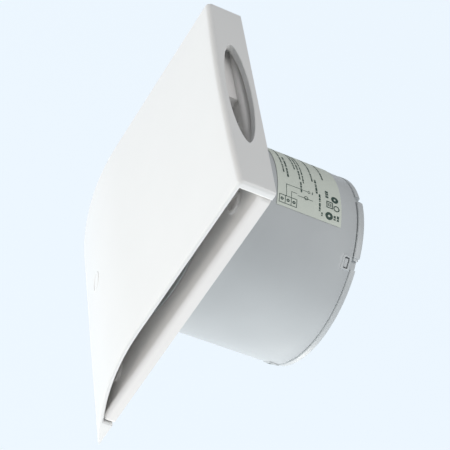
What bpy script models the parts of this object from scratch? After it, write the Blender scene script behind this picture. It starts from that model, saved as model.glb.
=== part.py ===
"""Bathroom extractor fan for a 100 mm duct: curved snap-on cover, wall frame, duct spigot with an axial fan
and its motor, wiring box, and a clipped-in backdraught shutter.

Frame: the origin is where the duct's axis meets the wall. +Y runs along the duct into the wall, +Z is up and
+X is to the right of someone who faces the fan from the room. Metres.
"""

import math

import bmesh
import bpy
from mathutils import Matrix, Vector

MM = 0.001
MERGE = 0.00001

# Cover
COVER_HALF_WIDTH = 70.5 * MM
COVER_TOP = 80.5 * MM
COVER_BOTTOM = -87.5 * MM
COVER_SIDE_DEPTH = 18.7 * MM
COVER_CROWN = 2.0 * MM
COVER_CROWN_FADE = 42 * MM
COVER_CURVE_START = -16 * MM
COVER_BOTTOM_DEPTH = 1.0 * MM
COVER_WALL = 2.2 * MM
COVER_TOP_WALL = 4.3 * MM
COVER_BOTTOM_BAR = 14 * MM
WALL_GAP = 0.3 * MM
EYE_HALF_LENGTH = 38.5 * MM
EYE_HALF_WIDTH = 6.5 * MM
EYE_DEPTH = 9.8 * MM
POST_RADIUS = 2.2 * MM
POST_PLACES = ((8 * MM, 67 * MM), (-36 * MM, -63 * MM), (36 * MM, -63 * MM))

# Wall frame
FRAME_GAP = 0.4 * MM
FRAME_HALF_WIDTH = COVER_HALF_WIDTH - 0.6 * MM
FRAME_TOP = COVER_TOP - COVER_TOP_WALL - FRAME_GAP
FRAME_BOTTOM = COVER_BOTTOM + COVER_BOTTOM_BAR + FRAME_GAP
FRAME_DEPTH = 5.2 * MM
FRAME_FLOOR = 1.8 * MM
FRAME_RIM = 2.2 * MM
FRAME_ROUNDING = 1.8 * MM
BOSS_X = 52 * MM
BOSS_Z = 56.5 * MM
BOSS_RADIUS = 5.5 * MM
BOSS_DEPTH = 6.6 * MM
BOSS_HOLE = 2.3 * MM
BOSS_RECESS = 4.2 * MM

# Duct
DUCT_OUTER = 49.5 * MM
DUCT_INNER = 47.7 * MM
DUCT_END = 72.8 * MM
DUCT_STEPS = 48
FLANGE_OUTER = 52.5 * MM
LIP_RADIUS = 1.6 * MM
LIP_DEPTH = 6.0 * MM
CLIP_ANGLES = (46, 134, 226, 314)
PLAIN_NOTCH_ANGLES = (90, 270)
CLIP_Y = 69.9 * MM
CLIP_WINDOW = (6.0 * MM, 3.0 * MM)
CLIP_FRAME = (7.6 * MM, 5.0 * MM)
LABEL_ANGLES = (64, 150)
LABEL_Y = (28 * MM, 63.5 * MM)

# Wiring box, in the upper left corner of the wall frame
BOX_X = (-45 * MM, -5 * MM)
BOX_Z = (54.8 * MM, 73.2 * MM)
BOX_DEPTH = 12.9 * MM
BOX_WALL = 1.6 * MM
BLOCK_LOW = Vector((-43.0, -12.2, 59.5)) * MM
BLOCK_HIGH = Vector((-22.0, -5.5, 70.5)) * MM
POLE_X = (-39.5 * MM, -32.5 * MM, -25.5 * MM)
POLE_Z = 67.5 * MM
GROMMET_X = -12.5 * MM
GROMMET_Z = 65.5 * MM
GROMMET_BORE = 3.4 * MM
CLAMP_Z = 58.5 * MM
CLAMP_SCREW_X = (-17.2 * MM, -8.8 * MM)
LID_POST = (-20 * MM, 70.0 * MM)

# Motor and fan wheel, along the duct's axis
SHAFT_RADIUS = 2.0 * MM
SHAFT_BORE = 2.12 * MM
SHAFT_Y = (2.2 * MM, 60.3 * MM)
HUB_RADIUS = 21 * MM
HUB_Y = (6 * MM, 28 * MM)
BLADES = 7
BLADE_TIP = 44.5 * MM
BLADE_ROOT = 19.9 * MM
BLADE_MID_Y = 17 * MM
MOTOR_RADIUS = 24 * MM
MOTOR_Y = (31 * MM, 62 * MM)
MOTOR_SPLIT_Y = 46 * MM
CARRIER_INNER = 24.4 * MM
CARRIER_OUTER = 26.4 * MM
STRUT_ANGLES = (45, 135, 225, 315)
MOTOR_SCREW_ANGLES = (85, 205, 325)
MOTOR_SCREW_RING = 18.5 * MM
STATOR_Y = (38 * MM, 54 * MM)

# Wires from the wiring box to the motor
WIRE_RADIUS = 0.9 * MM
WIRE_RING = 46.4 * MM
WIRE_ROOM_Y = -7.9 * MM
WIRE_END_Y = 59.4 * MM
WIRE_ANGLES = {"brown": 125.5, "blue": 121.0}

# Backdraught shutter
SHUTTER_PIN_Y = 73 * MM
SHUTTER_PIN_RADIUS = 1.0 * MM
SHUTTER_SLEEVE_INNER = 45.9 * MM
SHUTTER_END = 76.1 * MM
FLAP_RADIUS = 45.2 * MM
FLAP_THICKNESS = 0.9 * MM
FLAP_GAP = 2.6 * MM
KNUCKLE_RADIUS = 2.2 * MM
KNUCKLES = {"left": (14 * MM, -22 * MM), "right": (22 * MM, -14 * MM)}
KNUCKLE_LENGTH = 7 * MM


# ---------------------------------------------------------------- scene, materials and basic shapes

def clear_scene():
    for old in list(bpy.data.objects):
        bpy.data.objects.remove(old)


def new_collection(name):
    collection = bpy.data.collections.new(name)
    bpy.context.scene.collection.children.link(collection)
    return collection


def new_material(name, colour, roughness, metallic=0.0):
    material = bpy.data.materials.new(name)
    material.use_nodes = True
    shader = material.node_tree.nodes["Principled BSDF"]
    shader.inputs["Base Color"].default_value = (*colour, 1)
    shader.inputs["Roughness"].default_value = roughness
    shader.inputs["Metallic"].default_value = metallic
    return material


clear_scene()
PARTS = new_collection("bathroom_extractor_fan")
CUTTERS = new_collection("cutters")

WHITE = new_material("white_plastic", (0.88, 0.88, 0.86), 0.35)
GREY_WHITE = new_material("duct_plastic", (0.78, 0.80, 0.80), 0.4)
FAN_GREY = new_material("fan_plastic", (0.62, 0.64, 0.66), 0.4)
BLACK_RUBBER = new_material("rubber", (0.05, 0.05, 0.05), 0.7)
PAPER = new_material("label_paper", (0.72, 0.76, 0.68), 0.6)
STEEL = new_material("steel", (0.6, 0.6, 0.6), 0.3, 1.0)
BRONZE = new_material("sintered_bronze", (0.55, 0.38, 0.2), 0.45, 1.0)
IRON = new_material("laminated_iron", (0.3, 0.31, 0.33), 0.5, 1.0)
COPPER = new_material("copper_winding", (0.7, 0.3, 0.13), 0.4, 1.0)
NYLON = new_material("terminal_nylon", (0.75, 0.75, 0.7), 0.5)
BROWN = new_material("brown_wire", (0.2, 0.08, 0.03), 0.5)
BLUE = new_material("blue_wire", (0.03, 0.12, 0.5), 0.5)


def add_object(name, data, material=None):
    """An object with its material, or a hidden helper when no material is given."""
    thing = bpy.data.objects.new(name, data)
    if material is None:
        CUTTERS.objects.link(thing)
        thing.hide_render = True
        thing.display_type = "WIRE"
    else:
        PARTS.objects.link(thing)
        data.materials.append(material)
    return thing


def finish_mesh(name, bm, material):
    bmesh.ops.recalc_face_normals(bm, faces=bm.faces)
    mesh = bpy.data.meshes.new(name)
    bm.to_mesh(mesh)
    bm.free()
    return add_object(name, mesh, material)


def smooth(thing, degrees=35):
    """Round faces are shaded smooth. Edges sharper than the angle stay crisp."""
    thing.data.shade_smooth()
    thing.data.set_sharp_from_angle(angle=math.radians(degrees))
    return thing


def box(name, low, high, material=None):
    low, high = Vector(low), Vector(high)
    bm = bmesh.new()
    bmesh.ops.create_cube(bm, size=1)
    size = high - low
    bmesh.ops.transform(bm, verts=bm.verts, matrix=Matrix.Translation((low + high) / 2) @ Matrix.Diagonal((*size, 1)))
    return finish_mesh(name, bm, material)


def rod(name, radius, start, end, material=None, sides=24, end_radius=None):
    """A cylinder or cone between two points."""
    start, end = Vector(start), Vector(end)
    along = end - start
    bm = bmesh.new()
    bmesh.ops.create_cone(bm, cap_ends=True, segments=sides, radius1=radius,
                          radius2=radius if end_radius is None else end_radius, depth=along.length)
    turn = along.to_track_quat("Z", "Y").to_matrix().to_4x4()
    bmesh.ops.transform(bm, verts=bm.verts, matrix=Matrix.Translation((start + end) / 2) @ turn)
    return finish_mesh(name, bm, material)


def turned(name, profile, material=None, steps=48, place=(0, 0, 0)):
    """Turns a (radius, y) outline round an axis along +Y. Outlines that start and end on the axis stay open."""
    points = list(profile)
    on_axis = points[0][0] == 0 and points[-1][0] == 0
    pairs = zip(points, points[1:] + points[:1])
    area = sum(r1 * y2 - r2 * y1 for (r1, y1), (r2, y2) in pairs)
    if area > 0:
        points.reverse()
    bm = bmesh.new()
    corners = [bm.verts.new((r, 0, y)) for r, y in points]
    for first, second in zip(corners, corners[1:]):
        bm.edges.new((first, second))
    if not on_axis:
        bm.edges.new((corners[-1], corners[0]))
    mesh = bpy.data.meshes.new(name)
    bm.to_mesh(mesh)
    bm.free()
    thing = add_object(name, mesh, material)
    thing.rotation_euler = (-math.pi / 2, 0, 0)
    thing.location = place
    screw = thing.modifiers.new("turn", "SCREW")
    screw.steps = screw.render_steps = steps
    screw.use_merge_vertices = True
    screw.merge_threshold = MERGE
    screw.use_smooth_shade = False
    return thing


def outline_solid(name, outline, thickness, matrix, material=None):
    """A flat outline, centred on its own plane, made solid and placed by a matrix."""
    curve = bpy.data.curves.new(name, "CURVE")
    curve.dimensions = "2D"
    curve.fill_mode = "BOTH"
    curve.extrude = thickness / 2
    spline = curve.splines.new("POLY")
    spline.points.add(len(outline) - 1)
    for point, (x, y) in zip(spline.points, outline):
        point.co = (x, y, 0, 1)
    spline.use_cyclic_u = True
    flat = bpy.data.objects.new(name + "_outline", curve)
    bpy.context.scene.collection.objects.link(flat)
    bpy.context.view_layer.update()
    mesh = bpy.data.meshes.new_from_object(flat.evaluated_get(bpy.context.evaluated_depsgraph_get()))
    bpy.data.objects.remove(flat)
    bm = bmesh.new()
    bm.from_mesh(mesh)
    bmesh.ops.remove_doubles(bm, verts=bm.verts, dist=MERGE)
    bmesh.ops.transform(bm, verts=bm.verts, matrix=matrix)
    return finish_mesh(name, bm, material)


def combine(target, operation, *tools):
    for tool in tools:
        step = target.modifiers.new(tool.name, "BOOLEAN")
        step.operation = operation
        step.object = tool
        step.solver = "EXACT"
    return target


def cut(target, *tools):
    return combine(target, "DIFFERENCE", *tools)


def join(target, *tools):
    return combine(target, "UNION", *tools)


def round_edges(thing, width, segments=2, degrees=40):
    bevel = thing.modifiers.new("round", "BEVEL")
    bevel.width = width
    bevel.segments = segments
    bevel.limit_method = "ANGLE"
    bevel.angle_limit = math.radians(degrees)
    return thing


def radial(radius, degrees, y=0.0):
    angle = math.radians(degrees)
    return Vector((radius * math.cos(angle), y, radius * math.sin(angle)))


def radial_box(name, radii, width, ys, degrees, material=None):
    """A box that points out from the duct's axis, turned by an angle from +X towards +Z."""
    thing = box(name, (radii[0], ys[0], -width / 2), (radii[1], ys[1], width / 2), material)
    thing.data.transform(Matrix.Rotation(-math.radians(degrees), 4, "Y"))
    return thing


def screw(name, seat, direction, head_radius, head_height, shank_radius, shank_length, material=STEEL):
    """A cross-head screw. The seat is under its head, and the shank runs from there along the direction."""
    seat, direction = Vector(seat), Vector(direction).normalized()
    head_top = seat - direction * head_height
    head = rod(name, head_radius, seat, head_top, material, sides=12, end_radius=head_radius * 0.8)
    shank = rod(name + "_shank", shank_radius, seat - direction * head_height * 0.5,
                seat + direction * shank_length, sides=8)
    join(head, shank)
    turn = direction.to_track_quat("Z", "Y").to_matrix().to_4x4()
    for index, (wide, high) in enumerate(((1.3, 0.32), (0.32, 1.3))):
        slot = box(f"{name}_slot_{index}", (-wide / 2 * head_radius, -high / 2 * head_radius,
                                            -head_height * 0.5),
                   (wide / 2 * head_radius, high / 2 * head_radius, head_height * 0.5))
        slot.data.transform(Matrix.Translation(head_top) @ turn)
        cut(head, slot)
    return head


# ---------------------------------------------------------------- cover

def front_depth(x, z):
    """How far the cover's front stands off the wall: flat, then one arc down to the bottom edge, and crowned."""
    run = COVER_CURVE_START - COVER_BOTTOM
    drop = COVER_SIDE_DEPTH - COVER_BOTTOM_DEPTH
    arc = (run ** 2 + drop ** 2) / (2 * drop)
    below = max(COVER_CURVE_START - z, 0)
    fall = arc - math.sqrt(arc ** 2 - below ** 2)
    fade = max(0, min(1, (z - COVER_BOTTOM) / COVER_CROWN_FADE)) ** 0.7
    crown = COVER_CROWN * max(0, 1 - (x / COVER_HALF_WIDTH) ** 2)
    return COVER_SIDE_DEPTH - fall + crown * fade


def block_behind_front(name, half_width, bottom, top, inset, back_y, material=None):
    """A solid between the cover's front, moved in by an inset, and a plane parallel to the wall."""
    columns, curved_rows = 8, 9
    rows = [top, (top + COVER_CURVE_START) / 2]
    rows += [COVER_CURVE_START + (bottom - COVER_CURVE_START) * row / curved_rows for row in range(curved_rows + 1)]
    bm = bmesh.new()
    bmesh.ops.create_grid(bm, x_segments=columns, y_segments=len(rows) - 1, size=1)
    for vert in bm.verts:
        row = round((1 - vert.co.y) / 2 * (len(rows) - 1))
        x, z = vert.co.x * half_width, rows[row]
        vert.co = (x, inset - front_depth(x, z), z)
    grown = bmesh.ops.extrude_face_region(bm, geom=bm.faces[:])
    for vert in grown["geom"]:
        if isinstance(vert, bmesh.types.BMVert):
            vert.co.y = back_y
    return finish_mesh(name, bm, material)


def lens(half_length, half_width, points=10):
    """Two equal arcs that meet in points, as in an eye."""
    arc = (half_length ** 2 + half_width ** 2) / (2 * half_width)
    reach = math.asin(half_length / arc)
    upper = []
    for index in range(points):
        angle = -reach + 2 * reach * index / points
        upper.append((arc * math.sin(angle), arc * math.cos(angle) - arc + half_width))
    return upper + [(-x, -y) for x, y in upper]


def make_cover():
    inner_bottom = COVER_BOTTOM + COVER_BOTTOM_BAR
    inner_top = COVER_TOP - COVER_TOP_WALL
    cover = block_behind_front("front_cover", COVER_HALF_WIDTH, COVER_BOTTOM, COVER_TOP, 0, -WALL_GAP,
                               WHITE)
    inside = block_behind_front("cover_inside", COVER_HALF_WIDTH * 1.05, inner_bottom, inner_top,
                                COVER_WALL, 5 * MM)
    eye_place = Matrix.Translation((0, -EYE_DEPTH, COVER_TOP - COVER_TOP_WALL / 2))
    eye = outline_solid("cover_eye", lens(EYE_HALF_LENGTH, EYE_HALF_WIDTH), COVER_TOP_WALL * 2, eye_place)
    cut(cover, inside, eye)
    for index, (x, z) in enumerate(POST_PLACES):
        root_y = COVER_WALL / 2 - front_depth(x, z)
        post = rod(f"cover_post_{index}", POST_RADIUS, (x, root_y, z), (x, -1.2 * MM, z), sides=10)
        join(cover, post)
    return cover


# ---------------------------------------------------------------- wall frame and wiring box

def make_frame():
    frame = box("base_frame", (-FRAME_HALF_WIDTH, -FRAME_DEPTH, FRAME_BOTTOM),
                (FRAME_HALF_WIDTH, FRAME_DEPTH, FRAME_TOP), WHITE)
    round_edges(frame, FRAME_ROUNDING)
    behind = box("frame_behind", (-0.2, 0, -0.2), (0.2, 0.05, 0.2))
    hollow = box("frame_hollow", (-FRAME_HALF_WIDTH + FRAME_RIM, FRAME_FLOOR - FRAME_DEPTH,
                                  FRAME_BOTTOM + FRAME_RIM),
                 (FRAME_HALF_WIDTH - FRAME_RIM, 0.01, FRAME_TOP - FRAME_RIM))
    cut(frame, behind, hollow)
    for index, (side, level) in enumerate(((-1, -1), (1, -1), (-1, 1), (1, 1))):
        x, z = side * BOSS_X, level * BOSS_Z
        boss = rod(f"frame_boss_{index}", BOSS_RADIUS, (x, -BOSS_DEPTH, z), (x, 0, z), sides=20)
        recess = rod(f"frame_recess_{index}", BOSS_RECESS, (x, -BOSS_DEPTH - MM, z),
                     (x, -BOSS_DEPTH + 2.4 * MM, z), sides=16)
        hole = rod(f"frame_hole_{index}", BOSS_HOLE, (x, -0.01, z), (x, 0.01, z), sides=10)
        join(frame, boss)
        cut(frame, recess, hole)
    for index, (x, z) in enumerate(POST_PLACES):
        socket = rod(f"frame_socket_{index}", POST_RADIUS + 0.35 * MM, (x, -0.01, z), (x, 0.01, z),
                     sides=10)
        cut(frame, socket)
    box_walls = box("box_walls", (BOX_X[0], -BOX_DEPTH, BOX_Z[0]), (BOX_X[1], -FRAME_DEPTH + MM, BOX_Z[1]))
    box_room = box("box_room", (BOX_X[0] + BOX_WALL, -BOX_DEPTH - MM, BOX_Z[0] + BOX_WALL),
                   (BOX_X[1] - BOX_WALL, -FRAME_DEPTH, BOX_Z[1] - BOX_WALL))
    join(frame, box_walls)
    cut(frame, box_room)
    posts = [(LID_POST[0], LID_POST[1], BOX_DEPTH)] + [(x, CLAMP_Z, 7.0 * MM) for x in CLAMP_SCREW_X]
    for index, (x, z, depth) in enumerate(posts):
        post = rod(f"box_post_{index}", 1.7 * MM, (x, -depth, z), (x, -FRAME_DEPTH + MM, z), sides=12)
        hole = rod(f"box_post_hole_{index}", 1.05 * MM, (x, -depth - MM, z), (x, 0.01, z), sides=10)
        join(frame, post)
        cut(frame, hole)
    wire_gate = box("wire_gate", (-41 * MM, -BOX_DEPTH - MM, BOX_Z[0] - MM),
                    (-30 * MM, -6.4 * MM, BOX_Z[0] + 2 * MM))
    duct_hole = rod("frame_duct_hole", DUCT_OUTER + 0.3 * MM, (0, -0.02, 0), (0, 0.02, 0), sides=DUCT_STEPS)
    cable_hole = rod("frame_cable_hole", 4.7 * MM, (GROMMET_X, -0.01, GROMMET_Z),
                     (GROMMET_X, 0.01, GROMMET_Z), sides=16)
    return cut(frame, wire_gate, duct_hole, cable_hole)


def make_wiring_box():
    turned("cable_grommet", [(GROMMET_BORE, -6.8 * MM), (5.4 * MM, -6.4 * MM), (5.6 * MM, -5.5 * MM),
                             (4.4 * MM, -5.5 * MM), (4.4 * MM, -3.1 * MM), (5.6 * MM, -3.1 * MM),
                             (5.2 * MM, -1.9 * MM), (GROMMET_BORE, -1.9 * MM)],
           BLACK_RUBBER, steps=16, place=(GROMMET_X, 0, GROMMET_Z))
    block = box("terminal_block", BLOCK_LOW, BLOCK_HIGH, NYLON)
    for index, x in enumerate(POLE_X):
        well = rod(f"block_well_{index}", 1.9 * MM, (x, BLOCK_LOW.y - MM, POLE_Z),
                   (x, BLOCK_LOW.y + 2.6 * MM, POLE_Z),
                   sides=16)
        deep = rod(f"block_deep_{index}", 1.2 * MM, (x, BLOCK_LOW.y, POLE_Z),
                   (x, BLOCK_LOW.y + 5 * MM, POLE_Z),
                   sides=10)
        groove = box(f"block_groove_{index}", (x + 3.1 * MM, BLOCK_LOW.y - MM, BLOCK_LOW.z - MM),
                     (x + 3.9 * MM, BLOCK_LOW.y + 2 * MM, BLOCK_HIGH.z + MM))
        cut(block, well, deep)
        if index < len(POLE_X) - 1:
            cut(block, groove)
        screw(f"terminal_screw_{index + 1}", (x, BLOCK_LOW.y + 2.3 * MM, POLE_Z), (0, 1, 0),
              1.6 * MM, 1.3 * MM, 0.9 * MM, 2.2 * MM)
    lid_y = -BOX_DEPTH - 0.3 * MM
    lid = box("terminal_cover", (BOX_X[0], lid_y - 1.5 * MM, BOX_Z[0]), (BOX_X[1], lid_y, BOX_Z[1]), WHITE)
    round_edges(lid, 0.5 * MM)
    lid_lip = box("lid_lip", (BOX_X[0] + BOX_WALL + 0.3 * MM, lid_y - MM, BOX_Z[0] + BOX_WALL + 0.3 * MM),
                  (BOX_X[1] - BOX_WALL - 0.3 * MM, lid_y + 0.9 * MM, BOX_Z[1] - BOX_WALL - 0.3 * MM))
    lid_room = box("lid_room", (BOX_X[0] + 3.2 * MM, lid_y, BOX_Z[0] + 3.2 * MM),
                   (BOX_X[1] - 3.2 * MM, lid_y + 5 * MM, BOX_Z[1] - 3.2 * MM))
    lid_hole = rod("lid_hole", 1.4 * MM, (LID_POST[0], lid_y - 0.01, LID_POST[1]),
                   (LID_POST[0], lid_y + 0.01, LID_POST[1]), sides=12)
    post_room = rod("lid_post_room", 2.1 * MM, (LID_POST[0], lid_y, LID_POST[1]),
                    (LID_POST[0], lid_y + 0.01, LID_POST[1]), sides=12)
    join(lid, lid_lip)
    cut(lid, lid_room, lid_hole, post_room)
    screw("terminal_cover_screw", (LID_POST[0], lid_y - 1.8 * MM, LID_POST[1]), (0, 1, 0),
          2.4 * MM, 1.2 * MM, 0.8 * MM, 6 * MM)
    clamp = box("cord_clamp", (-19.4 * MM, -8.8 * MM, CLAMP_Z - 1.5 * MM),
                (-6.9 * MM, -7.3 * MM, CLAMP_Z + 1.5 * MM),
                NYLON)
    for index, x in enumerate(CLAMP_SCREW_X):
        cut(clamp, rod(f"clamp_hole_{index}", 1.1 * MM, (x, -0.01, CLAMP_Z), (x, 0, CLAMP_Z), sides=12))
        screw(f"cord_clamp_screw_{index + 1}", (x, -9.1 * MM, CLAMP_Z), (0, 1, 0),
              1.8 * MM, 1.1 * MM, 0.8 * MM, 5.5 * MM)


# ---------------------------------------------------------------- duct and rating label

def make_duct():
    lip = []
    for index in range(4):
        angle = math.radians(90 * index / 3)
        lip.append((DUCT_INNER + LIP_RADIUS * (1 - math.cos(angle)),
                    LIP_RADIUS - LIP_DEPTH - LIP_RADIUS * math.sin(angle)))
    duct = turned("duct_spigot", [(DUCT_OUTER, DUCT_END), (DUCT_INNER, DUCT_END),
                                  (DUCT_INNER, 2 * MM)] + lip
                  + [(FLANGE_OUTER, -LIP_DEPTH), (FLANGE_OUTER, -FRAME_DEPTH - 0.3 * MM),
                     (DUCT_OUTER, -FRAME_DEPTH - 0.3 * MM)],
                  GREY_WHITE, steps=DUCT_STEPS)
    for angle in CLIP_ANGLES:
        pad = radial_box(f"clip_pad_{angle}", (48.4 * MM, 49.9 * MM), CLIP_FRAME[0],
                         (CLIP_Y - CLIP_FRAME[1] / 2, CLIP_Y + CLIP_FRAME[1] / 2), angle)
        join(duct, pad)
    for angle in CLIP_ANGLES:
        window = radial_box(f"clip_window_{angle}", (44 * MM, 55 * MM), CLIP_WINDOW[0],
                            (CLIP_Y - CLIP_WINDOW[1] / 2, CLIP_Y + CLIP_WINDOW[1] / 2), angle)
        cut(duct, window)
    return duct


def make_label():
    steps = 16
    bm = bmesh.new()
    bmesh.ops.create_grid(bm, x_segments=steps, y_segments=1, size=1)
    first, last = LABEL_ANGLES
    for vert in bm.verts:
        degrees = first + (last - first) * (vert.co.x + 1) / 2
        y = LABEL_Y[0] if vert.co.y < 0 else LABEL_Y[1]
        vert.co = radial(DUCT_OUTER + 0.2 * MM, degrees, y)
    bmesh.ops.recalc_face_normals(bm, faces=bm.faces)
    mesh = bpy.data.meshes.new("rating_label")
    bm.to_mesh(mesh)
    bm.free()
    label = add_object("rating_label", mesh, PAPER)
    sheet = label.modifiers.new("sheet", "SOLIDIFY")
    sheet.thickness = 0.15 * MM
    sheet.offset = 0
    return label


# ---------------------------------------------------------------- motor

def make_motor_shells():
    start, end = MOTOR_Y
    wall, chamfer = 1.4 * MM, 1.2 * MM
    inside = MOTOR_RADIUS - wall
    seat, seat_outer, seat_length = 4.8 * MM, 6.3 * MM, 5.2 * MM
    turned("motor_front_shell", [
        (MOTOR_RADIUS, MOTOR_SPLIT_Y), (MOTOR_RADIUS, start + chamfer), (MOTOR_RADIUS - chamfer, start),
        (2.8 * MM, start), (2.8 * MM, start + chamfer), (seat, start + chamfer), (seat,
                                                                                  start + seat_length),
        (seat_outer, start + seat_length), (seat_outer, start + wall), (inside, start + wall),
        (inside, MOTOR_SPLIT_Y)], STEEL, steps=28)
    rear = turned("motor_rear_shell", [
        (0, end), (MOTOR_RADIUS - chamfer, end), (MOTOR_RADIUS, end - chamfer), (MOTOR_RADIUS,
                                                                                 MOTOR_SPLIT_Y + 0.3 * MM),
        (inside, MOTOR_SPLIT_Y + 0.3 * MM), (inside, end - wall), (seat_outer, end - wall),
        (seat_outer, end - seat_length), (seat, end - seat_length), (seat, end - chamfer), (0,
                                                                                            end - chamfer)],
        STEEL, steps=28)
    for angle in MOTOR_SCREW_ANGLES:
        at = radial(MOTOR_SCREW_RING, angle)
        cut(rear, rod(f"rear_shell_hole_{angle}", 1.6 * MM, at + Vector((0, end - 5 * MM, 0)),
                      at + Vector((0, end + 5 * MM, 0)), sides=12))


def make_bearings():
    for name, start in (("front_bearing", MOTOR_Y[0] + 1.5 * MM), ("rear_bearing", MOTOR_Y[1] - 5.2 * MM)):
        turned(name, [(SHAFT_BORE, start), (4.5 * MM, start), (4.5 * MM, start + 3.7 * MM),
                      (SHAFT_BORE, start + 3.7 * MM)], BRONZE, steps=16)


def make_stator():
    start, end = STATOR_Y
    core = turned("stator_core", [(17.5 * MM, start), (22.2 * MM, start), (22.2 * MM, end),
                                  (17.5 * MM, end)], IRON,
                  steps=24)
    shoes = turned("stator_shoes", [(11.3 * MM, start), (12.7 * MM, start), (12.7 * MM, end),
                                    (11.3 * MM, end)],
                   steps=24)
    for turn in range(4):
        gap = radial_box(f"stator_gap_{turn}", (8 * MM, 14 * MM), 5 * MM, (start - MM, end + MM),
                         45 + 90 * turn)
        cut(shoes, gap)
    for turn in range(4):
        pole = radial_box(f"stator_pole_{turn}", (11.9 * MM, 18.5 * MM), 6 * MM, STATOR_Y, 90 * turn)
        join(core, pole)
    join(core, shoes)
    for turn in range(4):
        winding = radial_box(f"coil_{turn + 1}", (13.1 * MM, 16.2 * MM), 12.4 * MM,
                             (start - 3 * MM, end + 3 * MM),
                             90 * turn, COPPER)
        round_edges(winding, 0.9 * MM, segments=1)
        window = radial_box(f"coil_window_{turn}", (5 * MM, 25 * MM), 6.6 * MM,
                            (start - 0.3 * MM, end + 0.3 * MM),
                            90 * turn)
        cut(winding, window)


def make_carrier():
    rear = MOTOR_Y[1] + 0.3 * MM
    carrier = turned("motor_carrier", [
        (CARRIER_INNER, 38 * MM), (CARRIER_OUTER, 38 * MM), (CARRIER_OUTER, rear + 2 * MM), (12 * MM,
                                                                                             rear + 2 * MM),
        (12 * MM, rear), (CARRIER_INNER, rear)], GREY_WHITE, steps=32)
    ring = turned("carrier_ring", [(SHUTTER_SLEEVE_INNER, 42 * MM), (47.4 * MM, 42 * MM),
                                   (47.4 * MM, 56 * MM),
                                   (SHUTTER_SLEEVE_INNER, 56 * MM)], steps=DUCT_STEPS)
    join(carrier, ring)
    for angle in STRUT_ANGLES:
        join(carrier, radial_box(f"strut_{angle}", (25.4 * MM, 46.6 * MM), 2.4 * MM, (40 * MM, 55 * MM),
                                 angle))
    wire_angle = sum(WIRE_ANGLES.values()) / 2
    cut(carrier, radial_box("carrier_ring_gate", (44 * MM, 50 * MM), 9 * MM, (36 * MM, 60 * MM),
                            wire_angle))
    cut(carrier, radial_box("carrier_cup_gate", (20 * MM, 30 * MM), 6.5 * MM, (57 * MM, 62 * MM),
                            wire_angle))
    for number, angle in enumerate(MOTOR_SCREW_ANGLES, 1):
        at = radial(MOTOR_SCREW_RING, angle)
        cut(carrier, rod(f"carrier_hole_{angle}", 1.7 * MM, at + Vector((0, 50 * MM, 0)),
                         at + Vector((0, 80 * MM, 0)),
                         sides=12))
        screw(f"motor_screw_{number}", at + Vector((0, rear + 2.3 * MM, 0)), (0, -1, 0),
              2.7 * MM, 1.6 * MM, 1.3 * MM, 5.6 * MM)


def make_wire(colour, pole_x, degrees, material):
    """A motor lead: out of the wiring box, over the inlet's lip, along the duct's wall and in to the motor."""
    route = [Vector((pole_x, WIRE_ROOM_Y, BLOCK_LOW.z - 0.3 * MM)),
             Vector((pole_x, WIRE_ROOM_Y, 57 * MM)),
             Vector((pole_x + 1.0 * MM, WIRE_ROOM_Y, 53.6 * MM))]
    route += [radial(radius, degrees, WIRE_ROOM_Y) for radius in (57.5 * MM, 52.5 * MM, 47.2 * MM)]
    route += [radial(WIRE_RING, degrees, y) for y in (-6.2 * MM, 2 * MM, 28 * MM, 55 * MM)]
    route += [radial(45.6 * MM, degrees, 58 * MM), radial(42.8 * MM, degrees, WIRE_END_Y),
              radial(CARRIER_INNER, degrees, WIRE_END_Y)]
    curve = bpy.data.curves.new(f"lead_wire_{colour}", "CURVE")
    curve.dimensions = "3D"
    curve.bevel_depth = WIRE_RADIUS
    curve.bevel_resolution = 2
    curve.use_fill_caps = True
    spline = curve.splines.new("POLY")
    spline.points.add(len(route) - 1)
    for slot, point in zip(spline.points, route):
        slot.co = (*point, 1)
    return add_object(f"lead_wire_{colour}", curve, material)


# ---------------------------------------------------------------- rotor and fan wheel

def make_rotor():
    rod("motor_shaft", SHAFT_RADIUS, (0, SHAFT_Y[0], 0), (0, SHAFT_Y[1], 0), STEEL, sides=16)
    turned("rotor_core", [(SHAFT_BORE, 37.6 * MM), (9.8 * MM, 37.6 * MM), (9.8 * MM, 39 * MM),
                          (10.9 * MM, 39 * MM),
                          (10.9 * MM, 53 * MM), (9.8 * MM, 53 * MM), (9.8 * MM, 54.4 * MM), (SHAFT_BORE,
                                                                                             54.4 * MM)],
           IRON, steps=20)
    for name, start in (("thrust_washer_front", 36.8 * MM), ("thrust_washer_rear", 55.0 * MM)):
        turned(name, [(SHAFT_BORE, start), (4.2 * MM, start), (4.2 * MM, start + 0.5 * MM),
                      (SHAFT_BORE, start + 0.5 * MM)], NYLON, steps=16)
    nut = rod("impeller_nut", 4.0 * MM, (0, 3.0 * MM, 0), (0, 5.7 * MM, 0), STEEL, sides=6)
    cut(nut, rod("nut_bore", SHAFT_BORE, (0, -0.01, 0), (0, 0.02, 0), sides=16))


def blade_surface(name):
    """One twisted, cambered blade as a thin sheet, before it is given its thickness."""
    bm = bmesh.new()
    bmesh.ops.create_grid(bm, x_segments=3, y_segments=4, size=1)
    for vert in bm.verts:
        out, across = (vert.co.x + 1) / 2, vert.co.y / 2
        radius = BLADE_ROOT + (BLADE_TIP - BLADE_ROOT) * out
        pitch = math.radians(50 - 20 * out)
        chord = (21 + 7 * out) * MM
        camber = 2.2 * MM * (1 - 4 * across ** 2)
        sweep = math.radians(12) * out ** 2
        along = across * chord * math.cos(pitch) + camber * math.sin(pitch)
        y = BLADE_MID_Y + across * chord * math.sin(pitch) - camber * math.cos(pitch)
        angle = along / radius + sweep
        vert.co = (radius * math.cos(angle), y, radius * math.sin(angle))
    return bm


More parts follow.
